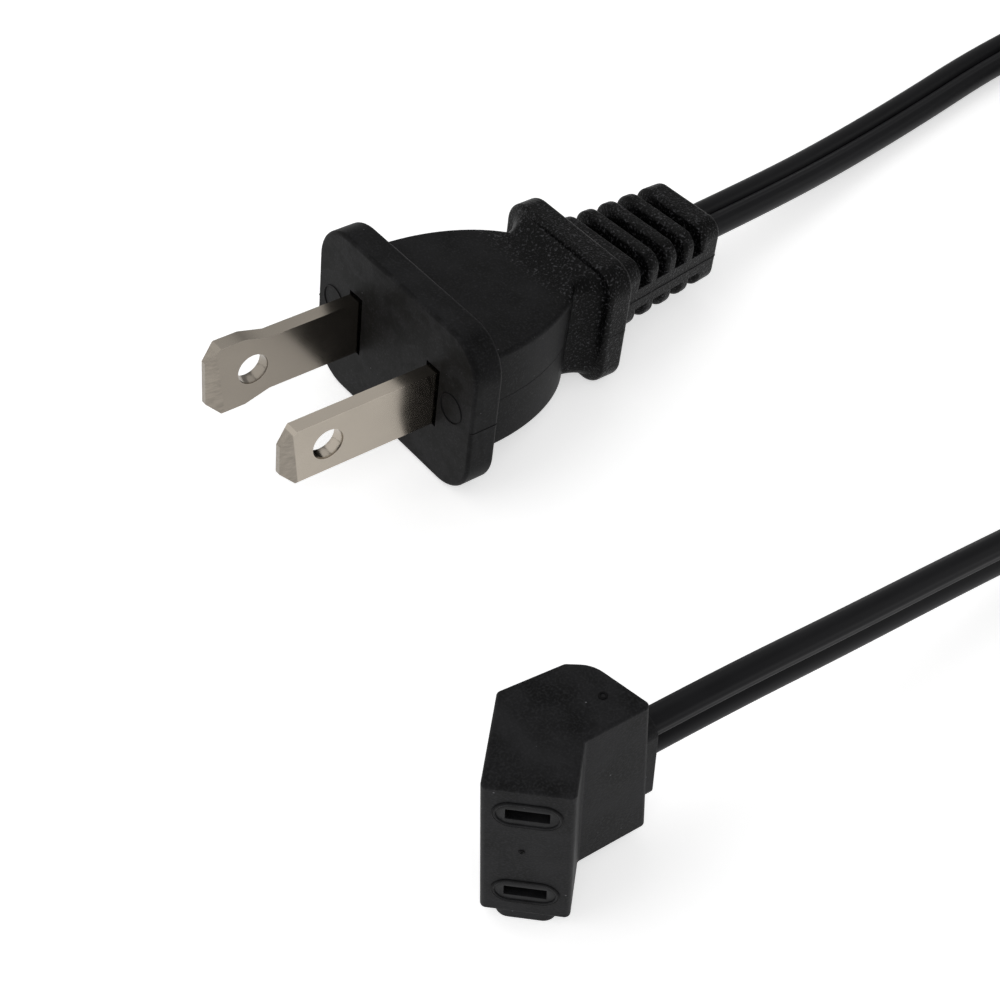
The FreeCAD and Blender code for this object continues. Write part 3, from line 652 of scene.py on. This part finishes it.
def finish_tree(tree, geometry, source, result):
    """Last nodes of a geometry tree: instances made real, and the material put on."""
    real = put(tree, "GeometryNodeRealizeInstances", {"Geometry": geometry})
    painted = put(tree, "GeometryNodeSetMaterial", {"Geometry": real.outputs["Geometry"],
                                                    "Material": source.outputs["Material"]})
    tree.links.new(painted.outputs["Geometry"], result.inputs["Geometry"])
    return tree


def bead_tree():
    """Geometry Nodes: a round bead along every edge of the mesh that comes in."""
    name = "Bead along edges"
    if name in bpy.data.node_groups:
        return bpy.data.node_groups[name]
    tree, source, result = group_tree(
        name, "GeometryNodeTree",
        [("Geometry", "NodeSocketGeometry", None), ("Bead Radius", "NodeSocketFloat", 0.00006),
         ("Sides", "NodeSocketInt", 6), ("Material", "NodeSocketMaterial", None)],
        [("Geometry", "NodeSocketGeometry")])
    line = put(tree, "GeometryNodeMeshToCurve", {"Mesh": source.outputs["Geometry"]})
    ring = put(tree, "GeometryNodeCurvePrimitiveCircle",
               {"Resolution": source.outputs["Sides"], "Radius": source.outputs["Bead Radius"]})
    tube = put(tree, "GeometryNodeCurveToMesh", {"Curve": line.outputs["Curve"],
                                                 "Profile Curve": ring.outputs["Curve"],
                                                 "Fill Caps": True})
    soft = put(tree, "GeometryNodeSetShadeSmooth", {"Geometry": tube.outputs["Mesh"]})
    return finish_tree(tree, soft.outputs["Geometry"], source, result)


def add_bead(name, runs, radius, material):
    """A bead along those edges, as a piece of its own."""
    piece = new_object(name, edge_mesh(name, runs), None)
    modifier = piece.modifiers.new("Bead", "NODES")
    modifier.node_group = bead_tree()
    set_inputs(modifier, {"Bead Radius": radius, "Sides": 6, "Material": material})
    dress(baked(piece))


def cut_line(mesh, place, level, sink, wanted):
    """Edges where the level plane of a piece's own frame meets its mesh, sunk a little into it."""
    bm = bmesh.new()
    bm.from_mesh(mesh)
    normal = place.to_3x3() @ Vector((0, 0, 1))
    cut = bmesh.ops.bisect_plane(bm, geom=bm.verts[:] + bm.edges[:] + bm.faces[:],
                                 plane_co=place @ Vector((0, 0, level)), plane_no=normal,
                                 dist=1e-7)["geom_cut"]
    home = place.inverted()
    runs = []
    for edge in cut:
        if not isinstance(edge, bmesh.types.BMEdge) or not edge.link_faces:
            continue
        outward = sum((f.normal for f in edge.link_faces), Vector()).normalized()
        middle = home @ ((edge.verts[0].co + edge.verts[1].co) / 2)
        if wanted(middle, home.to_3x3() @ outward):
            runs.append(tuple(v.co - v.normal.normalized() * sink for v in edge.verts))
    bm.free()
    return runs


def edge_mesh(name, runs):
    mesh = bpy.data.meshes.new(name)
    points = [p for run in runs for p in run]
    mesh.from_pydata([p[:] for p in points], [(i, i + 1) for i in range(0, len(points), 2)], [])
    bm = bmesh.new()
    bm.from_mesh(mesh)
    bmesh.ops.remove_doubles(bm, verts=bm.verts, dist=0.005 * MM)
    bm.to_mesh(mesh)
    bm.free()
    return mesh


def ring_runs(place, centre, across, up, radius, segments, stretch=0.0):
    """A circle's edges on a piece's surface, or a stadium's where it is stretched along across."""
    points = []
    for i in range(segments):
        angle = 2 * math.pi * (i + 0.5) / segments
        out = (across * math.cos(angle) + up * math.sin(angle)) * radius
        out += across * math.copysign(stretch / 2, math.cos(angle))
        points.append(place @ (centre + out))
    return list(zip(points, points[1:] + points[:1]))


# Cord


def coil_place(travelled):
    """Radius and height of the coil's track after that many degrees, eased between its stages."""
    for (a, r0, z0), (b, r1, z1) in zip(COIL_TRACK, COIL_TRACK[1:]):
        if travelled <= b:
            share = smooth_step((travelled - a) / (b - a))
            return (r0 + (r1 - r0) * share) * MM, (z0 + (z1 - z0) * share) * MM
    return COIL_TRACK[-1][1] * MM, COIL_TRACK[-1][2] * MM


def cord_controls():
    """Control points from the plug, clockwise through the coil's turns, to the connector."""
    points = [Vector(p) for p in PLUG_ROUTE]
    # A spline of order 3 runs inside its control points by this share
    pull = (3 + math.cos(math.radians(COIL_STEP))) / 4
    for i in range(COIL_TRACK[-1][0] // COIL_STEP):
        travelled = (i + 0.5) * COIL_STEP
        radius, height = coil_place(travelled)
        angle = math.radians(COIL_START - travelled)
        points.append(Vector((COIL_MIDDLE.x + radius / pull * math.cos(angle),
                              COIL_MIDDLE.y + radius / pull * math.sin(angle), height)))
    return points + [Vector(p) for p in reversed(CONNECTOR_ROUTE)]


def spline_line(name, controls):
    """Points of the NURBS spline through the route's control points."""
    curve = bpy.data.curves.new(name, "CURVE")
    curve.dimensions = "3D"
    curve.resolution_u = 6
    spline = curve.splines.new("NURBS")
    spline.points.add(len(controls) - 1)
    for point, place in zip(spline.points, controls):
        point.co = (*place, 1)
    spline.order_u = 3
    spline.use_endpoint_u = True
    holder = bpy.data.objects.new(name, curve)
    bpy.context.scene.collection.objects.link(holder)
    bpy.context.view_layer.update()
    mesh = bpy.data.meshes.new_from_object(holder)
    line = [v.co.copy() for v in mesh.vertices]
    bpy.data.objects.remove(holder)
    bpy.data.curves.remove(curve)
    bpy.data.meshes.remove(mesh)
    return line


def cord_section(look):
    """Outline of the twin cord as (across, through): two lobes, a V between, ribs on one."""
    r = look.cord_thickness / 2
    lobe = (look.cord_width - look.cord_thickness) / 2
    opening = math.acos((look.groove_width / 2 - lobe) / r)
    outline = []
    for side, count in ((1, RIBBED_STEPS), (-1, PLAIN_STEPS)):
        for i in range(count + 1):
            angle = -opening + 2 * opening * i / count
            out = r
            if side > 0:
                for rib in RIB_ANGLES:
                    aside = (math.degrees(angle) - rib) / RIB_REACH
                    out += look.rib_height * math.exp(-aside ** 2)
            outline.append((side * (lobe + out * math.cos(angle)), side * out * math.sin(angle)))
        outline.append((0.0, side * look.groove_floor))
    return outline


def cord_tube(line, look):
    """Tube along the line, flat on the plug's side and turned upright before the connector."""
    outline = cord_section(look)
    travelled = [0.0]
    for a, b in zip(line, line[1:]):
        travelled.append(travelled[-1] + (b - a).length)
    around = [0.0]
    for a, b in zip(outline, outline[1:] + outline[:1]):
        around.append(around[-1] + math.dist(a, b))
    bm = bmesh.new()
    uv_layer = bm.loops.layers.uv.new("cord")
    rings = []
    for i, point in enumerate(line):
        ahead = (line[min(i + 1, len(line) - 1)] - line[max(i - 1, 0)]).normalized()
        side = ahead.cross(Vector((0, 0, 1))).normalized()
        up = side.cross(ahead)
        left = travelled[-1] - travelled[i]
        turn = math.pi / 2 * (1 - smooth_step((left - TWIST_END) / (TWIST_START - TWIST_END)))
        wide = side * math.cos(turn) + up * math.sin(turn)
        thin = up * math.cos(turn) - side * math.sin(turn)
        rings.append([bm.verts.new(point + wide * w + thin * t) for w, t in outline])
    count = len(outline)
    for i, (near, far) in enumerate(zip(rings, rings[1:])):
        for j in range(count):
            k = (j + 1) % count
            face = bm.faces.new((near[j], near[k], far[k], far[j]))
            face.smooth = True
            for loop, (across, along) in zip(face.loops, (
                    (around[j], travelled[i]), (around[j + 1], travelled[i]),
                    (around[j + 1], travelled[i + 1]), (around[j], travelled[i + 1]))):
                loop[uv_layer].uv = (across, along)
    bm.faces.new(reversed(rings[0]))
    bm.faces.new(rings[-1])
    bmesh.ops.recalc_face_normals(bm, faces=bm.faces)
    mesh = bpy.data.meshes.new("flat_cord")
    bm.to_mesh(mesh)
    bm.free()
    mesh.set_sharp_from_angle(angle=math.radians(CORD_EDGE))
    return mesh


class PLUGCORD_OT_camera(Operator):
    """Camera at the photograph's viewing angle"""
    bl_idname = "plugcord.camera"
    bl_label = "Camera"

    def execute(self, context):
        look = settings()
        a, e, roll = look.view_azimuth, look.view_elevation, look.view_roll
        back = Vector((math.sin(a) * math.cos(e), -math.cos(a) * math.cos(e), math.sin(e)))
        level = Vector((math.cos(a), math.sin(a), 0))
        rise = back.cross(level)
        right = level * math.cos(roll) + rise * math.sin(roll)
        up = rise * math.cos(roll) - level * math.sin(roll)
        place = FACE_CENTRE + back * look.view_distance
        place += right * VIEW_SHIFT.x - up * VIEW_SHIFT.y
        data = bpy.data.cameras.new("Camera")
        data.sensor_width = 36
        data.lens = look.lens
        data.clip_start, data.clip_end = 0.005, 20
        camera = bpy.data.objects.new("Camera", data)
        context.scene.collection.objects.link(camera)
        camera.matrix_world = Matrix((
            (right.x, up.x, back.x, place.x), (right.y, up.y, back.y, place.y),
            (right.z, up.z, back.z, place.z), (0, 0, 0, 1)))
        context.scene.camera = camera
        return {"FINISHED"}


class PLUGCORD_OT_stage(Operator):
    """Pale floor, soft lamps and an even surrounding light"""
    bl_idname = "plugcord.stage"
    bl_label = "Floor and lamps"

    def execute(self, context):
        bpy.ops.mesh.primitive_circle_add(vertices=96, radius=6, fill_type="NGON")
        floor = context.object
        floor.name = "floor"
        floor.data.materials.append(floor_material())
        world = bpy.data.worlds.new("Even light")
        context.scene.world = world
        world.use_nodes = True
        world.node_tree.nodes["Background"].inputs["Color"].default_value = (1, 1, 1, 1)
        world.node_tree.nodes["Background"].inputs["Strength"].default_value = WORLD_LIGHT
        for name, place, size, power in LAMPS:
            data = bpy.data.lights.new(name, "AREA")
            data.shape = "DISK"
            data.size = size
            data.energy = power
            lamp = bpy.data.objects.new(name, data)
            context.scene.collection.objects.link(lamp)
            lamp.location = place
            aim = LAMP_AIM - Vector(place)
            lamp.rotation_euler = aim.to_track_quat("-Z", "Y").to_euler()
        context.scene.view_settings.view_transform = "Standard"
        return {"FINISHED"}


class PLUGCORD_OT_connector(Operator):
    """Angled connector: its moulding, slot inserts, contacts and small mould marks"""
    bl_idname = "plugcord.connector"
    bl_label = "Connector"

    def execute(self, context):
        look = settings()
        mesh = merged_mesh("connector_moulding", "connector_body")
        smooth_by_angle(mesh, PLASTIC_EDGE)
        body = new_object("connector_body", mesh, connector_plastic())
        weigh_normals(body)
        dress(body, ["connector_moulding"])
        mesh = merged_mesh("slot_carrier", "slot_inserts")
        inserts = new_object("slot_inserts", mesh, carrier_plastic())
        bevel_edges(inserts, look.slot_bevel, INSERT_BEVEL_FROM)
        smooth_by_angle(inserts.data, INSERT_EDGE)
        dress(inserts, ["slot_carrier"])
        x, y, z = Vector((1, 0, 0)), Vector((0, 1, 0)), Vector((0, 0, 1))
        runs = ring_runs(CONNECTOR_PLACE, GATE_MARK, x, y, GATE_MARK_RADIUS, 20)
        runs += ring_runs(CONNECTOR_PLACE, FACE_DIMPLE, x, z, FACE_DIMPLE_RADIUS, 16)
        lips = []
        for centre in SLOT_RINGS:
            radius, stretch = SLOT_RING_SIZE.y / 2, SLOT_RING_SIZE.x - SLOT_RING_SIZE.y
            runs += ring_runs(CONNECTOR_PLACE, centre, x, z, radius + look.slot_lip,
                              look.ring_segments, stretch)
            lips += ring_runs(CONNECTOR_PLACE, centre, x, z, radius, look.ring_segments, stretch)
        # The marks and the outer rings round the slot lips are dark beads: painted shade, the outer
        # rings a painted shadow of the gap round each insert
        add_bead("connector_marks", runs, look.seam_width * SMALL_MARK_BEAD, shaded_seam_plastic())
        add_bead("slot_lips", lips, look.slot_lip, connector_plastic())
        paint(contact_brass(), "contact_upper", "contact_lower")
        paint(strand_copper(), "connector_strand_upper", "connector_strand_lower")
        paint(jacket_rubber("Wire insulation", False), "connector_wire_upper",
              "connector_wire_lower")
        return {"FINISHED"}


def tie_tree():
    """Geometry Nodes: a strap swept along a closed path, with ridges across it at a set spacing."""
    name = "Ridged strap"
    if name in bpy.data.node_groups:
        return bpy.data.node_groups[name]
    tree, source, result = group_tree(
        name, "GeometryNodeTree",
        [("Geometry", "NodeSocketGeometry", None), ("Strap Width", "NodeSocketFloat", 0.004),
         ("Strap Thickness", "NodeSocketFloat", 0.0004),
         ("Ridge Spacing", "NodeSocketFloat", 0.001), ("Ridge Height", "NodeSocketFloat", 0.0001),
         ("Material", "NodeSocketMaterial", None)],
        [("Geometry", "NodeSocketGeometry")])
    path = put(tree, "GeometryNodeMeshToCurve", {"Mesh": source.outputs["Geometry"]})
    profile = put(tree, "GeometryNodeCurvePrimitiveQuadrilateral",
                  {"Width": source.outputs["Strap Width"],
                   "Height": source.outputs["Strap Thickness"]})
    strap = put(tree, "GeometryNodeCurveToMesh", {"Curve": path.outputs["Curve"],
                                                  "Profile Curve": profile.outputs["Curve"]})
    spots = put(tree, "GeometryNodeCurveToPoints", {"Curve": path.outputs["Curve"],
                                                    "Length": source.outputs["Ridge Spacing"]},
                mode="LENGTH")
    size = put(tree, "ShaderNodeCombineXYZ", {
        "X": calc(tree, "MULTIPLY", source.outputs["Strap Width"], 0.8),
        "Y": calc(tree, "ADD", source.outputs["Strap Thickness"], source.outputs["Ridge Height"]),
        "Z": calc(tree, "MULTIPLY", source.outputs["Ridge Spacing"], 0.4)})
    ridge = put(tree, "GeometryNodeMeshCube", {"Size": size.outputs["Vector"]})
    ridges = put(tree, "GeometryNodeInstanceOnPoints",
                 {"Points": spots.outputs["Points"], "Instance": ridge.outputs["Mesh"],
                  "Rotation": spots.outputs["Rotation"]})
    both = put(tree, "GeometryNodeJoinGeometry")
    tree.links.new(ridges.outputs["Instances"], both.inputs["Geometry"])
    tree.links.new(strap.outputs["Mesh"], both.inputs["Geometry"])
    return finish_tree(tree, both.outputs["Geometry"], source, result)


class PLUGCORD_OT_coil_tie(Operator):
    """Ridged strap that holds the coil's turns together, with its small lock"""
    bl_idname = "plugcord.coil_tie"
    bl_label = "Coil tie"

    def execute(self, context):
        look = settings()
        low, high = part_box("coil_tie")
        half = (STRAP_THICKNESS + STRAP_RIDGE) / 2 + STRAP_CLEARANCE
        y0, y1, z0, z1 = low.y + half, high.y - half, low.z + half, high.z - half
        middle_x = (low.x + high.x) / 2
        corner, steps = STRAP_CORNER, STRAP_CORNER_STEPS
        path = []
        for cy, cz, start in ((y1 - corner, z1 - corner, 0), (y0 + corner, z1 - corner, 90),
                              (y0 + corner, z0 + corner, 180), (y1 - corner, z0 + corner, 270)):
            for i in range(steps + 1):
                angle = math.radians(start + 90 * i / steps)
                path.append(Vector((middle_x, cy + corner * math.cos(angle),
                                    cz + corner * math.sin(angle))))
        mesh = edge_mesh("coil_strap", list(zip(path, path[1:] + path[:1])))
        plastic = carrier_plastic()
        strap = new_object("coil_strap", mesh, None)
        modifier = strap.modifiers.new("Strap", "NODES")
        modifier.node_group = tie_tree()
        set_inputs(modifier, {
            "Strap Width": high.x - low.x, "Strap Thickness": STRAP_THICKNESS,
            "Ridge Spacing": look.tie_ridges, "Ridge Height": STRAP_RIDGE, "Material": plastic})
        baked(strap)
        bm = bmesh.new()
        bm.from_mesh(strap.data)
        lock = bmesh.ops.create_cube(bm, size=1.0)["verts"]
        bmesh.ops.scale(bm, verts=lock, vec=LOCK_SIZE)
        bmesh.ops.translate(bm, verts=lock, vec=LOCK_OFFSET + Vector(
            (middle_x, (low.y + high.y) / 2, high.z)))
        edges = {e for v in lock for e in v.link_edges}
        bmesh.ops.bevel(bm, geom=list(edges), offset=LOCK_EDGE, segments=2, affect="EDGES")
        for face in bm.faces:
            face.material_index = 0
        bm.to_mesh(strap.data)
        bm.free()
        strap.data.materials.clear()
        strap.data.materials.append(plastic)
        smooth_by_angle(strap.data, STRAP_EDGE)
        dress(strap, ["coil_tie"])
        return {"FINISHED"}


class PLUGCORD_OT_cord(Operator):
    """Flat twin cord from the plug through its coil to the connector"""
    bl_idname = "plugcord.cord"
    bl_label = "Cord"

    def execute(self, context):
        look = settings()
        line = spline_line("cord_line", cord_controls())
        cord = new_object("flat_cord", cord_tube(line, look), jacket_rubber("Cord jacket", True))
        dress(cord, ["cord_from_plug", "cord_coil", "cord_to_connector"])
        return {"FINISHED"}


class PLUGCORD_OT_plug(Operator):
    """Plug's moulding with its parting seams and the round marks beside its blades"""
    bl_idname = "plugcord.plug"
    bl_label = "Plug moulding"

    def execute(self, context):
        look = settings()
        mesh = merged_mesh("plug_moulding", "plug_body", flat=False)
        smooth_by_angle(mesh, PLASTIC_EDGE)

        def beside_flange(middle, facing):
            return abs(facing.x) > SIDE_FACING and middle.y < FLANGE_END

        def beside_body(middle, facing):
            on_body = FLANGE_END < middle.y < RELIEF_START and abs(middle.x) > BODY_SEAM_FROM
            return on_body and abs(facing.x) > SIDE_FACING

        def beside_relief(middle, facing):
            on_relief = middle.y >= RELIEF_START and abs(middle.x) > RELIEF_SEAM_FROM
            return on_relief and abs(facing.x) > SIDE_FACING

        width = look.seam_width
        runs = cut_line(mesh, PLUG_PLACE, PARTING_LEVEL, width * SEAM_SINK, beside_flange)
        runs += cut_line(mesh, PLUG_PLACE, RELIEF_PARTING_LEVEL, width * SEAM_SINK,
                         beside_relief)
        fine = cut_line(mesh, PLUG_PLACE, PARTING_LEVEL, width * FINE_SEAM_SINK, beside_body)
        x, z = Vector((1, 0, 0)), Vector((0, 0, 1))
        rings = []
        for centre in FLANGE_RINGS:
            rings += ring_runs(PLUG_PLACE, centre, x, z, FLANGE_RING_RADIUS, look.ring_segments)
        body = new_object("plug_body", mesh, plug_plastic())
        weigh_normals(body)
        dress(body, ["plug_moulding"])
        # The seams' and the round marks' beads are dark: painted shade in their grooves
        add_bead("plug_seams", runs, width / 2, shaded_seam_plastic())
        add_bead("plug_fine_seams", fine, width / 4, plug_plastic())
        add_bead("plug_round_marks", rings, width * RING_BEAD, shaded_seam_plastic())
        return {"FINISHED"}


class PLUGCORD_OT_blades(Operator):
    """Stamped and plated blades with softened edges, and the parts hidden behind them"""
    bl_idname = "plugcord.blades"
    bl_label = "Blades"

    def execute(self, context):
        look = settings()
        # The wide blade's plating is painted darker than the narrow one's: painted shade
        for node, tone in BLADE_SHADE_TONES.items():
            mesh = merged_mesh(node, node + "_plated")
            plating = blade_metal("Plating of " + node, tone)
            blade = new_object(node + "_plated", mesh, plating)
            bevel_edges(blade, look.blade_bevel, BLADE_BEVEL_FROM)
            smooth_by_angle(blade.data, BLADE_EDGE)
            weigh_normals(blade)
            dress(blade, [node])
        paint(carrier_plastic(), "blade_holder")
        paint(strand_copper(), "plug_strand_narrow", "plug_strand_wide")
        paint(jacket_rubber("Wire insulation", False), "plug_wire_narrow", "plug_wire_wide")
        return {"FINISHED"}


class PLUGCORD_PT_panel(Panel):
    """Steps of the dressing and its settings"""
    bl_idname = "PLUGCORD_PT_panel"
    bl_label = "Plug Cord"
    bl_space_type = "VIEW_3D"
    bl_region_type = "UI"
    bl_category = "Plug Cord"

    def draw(self, context):
        column = self.layout.column(align=True)
        for step in STEPS:
            column.operator(step.bl_idname)
        for item in PlugCordSettings.__annotations__:
            self.layout.prop(context.scene.plug_cord, item)


STEPS = (PLUGCORD_OT_camera, PLUGCORD_OT_stage, PLUGCORD_OT_connector, PLUGCORD_OT_coil_tie,
         PLUGCORD_OT_cord, PLUGCORD_OT_plug, PLUGCORD_OT_blades)
CLASSES = (PlugCordSettings, *STEPS, PLUGCORD_PT_panel)


def register():
    for kind in CLASSES:
        bpy.utils.register_class(kind)
    bpy.types.Scene.plug_cord = PointerProperty(type=PlugCordSettings)


def unregister():
    del bpy.types.Scene.plug_cord
    for kind in reversed(CLASSES):
        bpy.utils.unregister_class(kind)


def main():
    register()
    bpy.ops.plugcord.camera()
    bpy.ops.plugcord.stage()
    bpy.ops.plugcord.connector()
    bpy.ops.plugcord.coil_tie()
    bpy.ops.plugcord.cord()
    bpy.ops.plugcord.plug()
    bpy.ops.plugcord.blades()


if __name__ == "__main__":
    main()
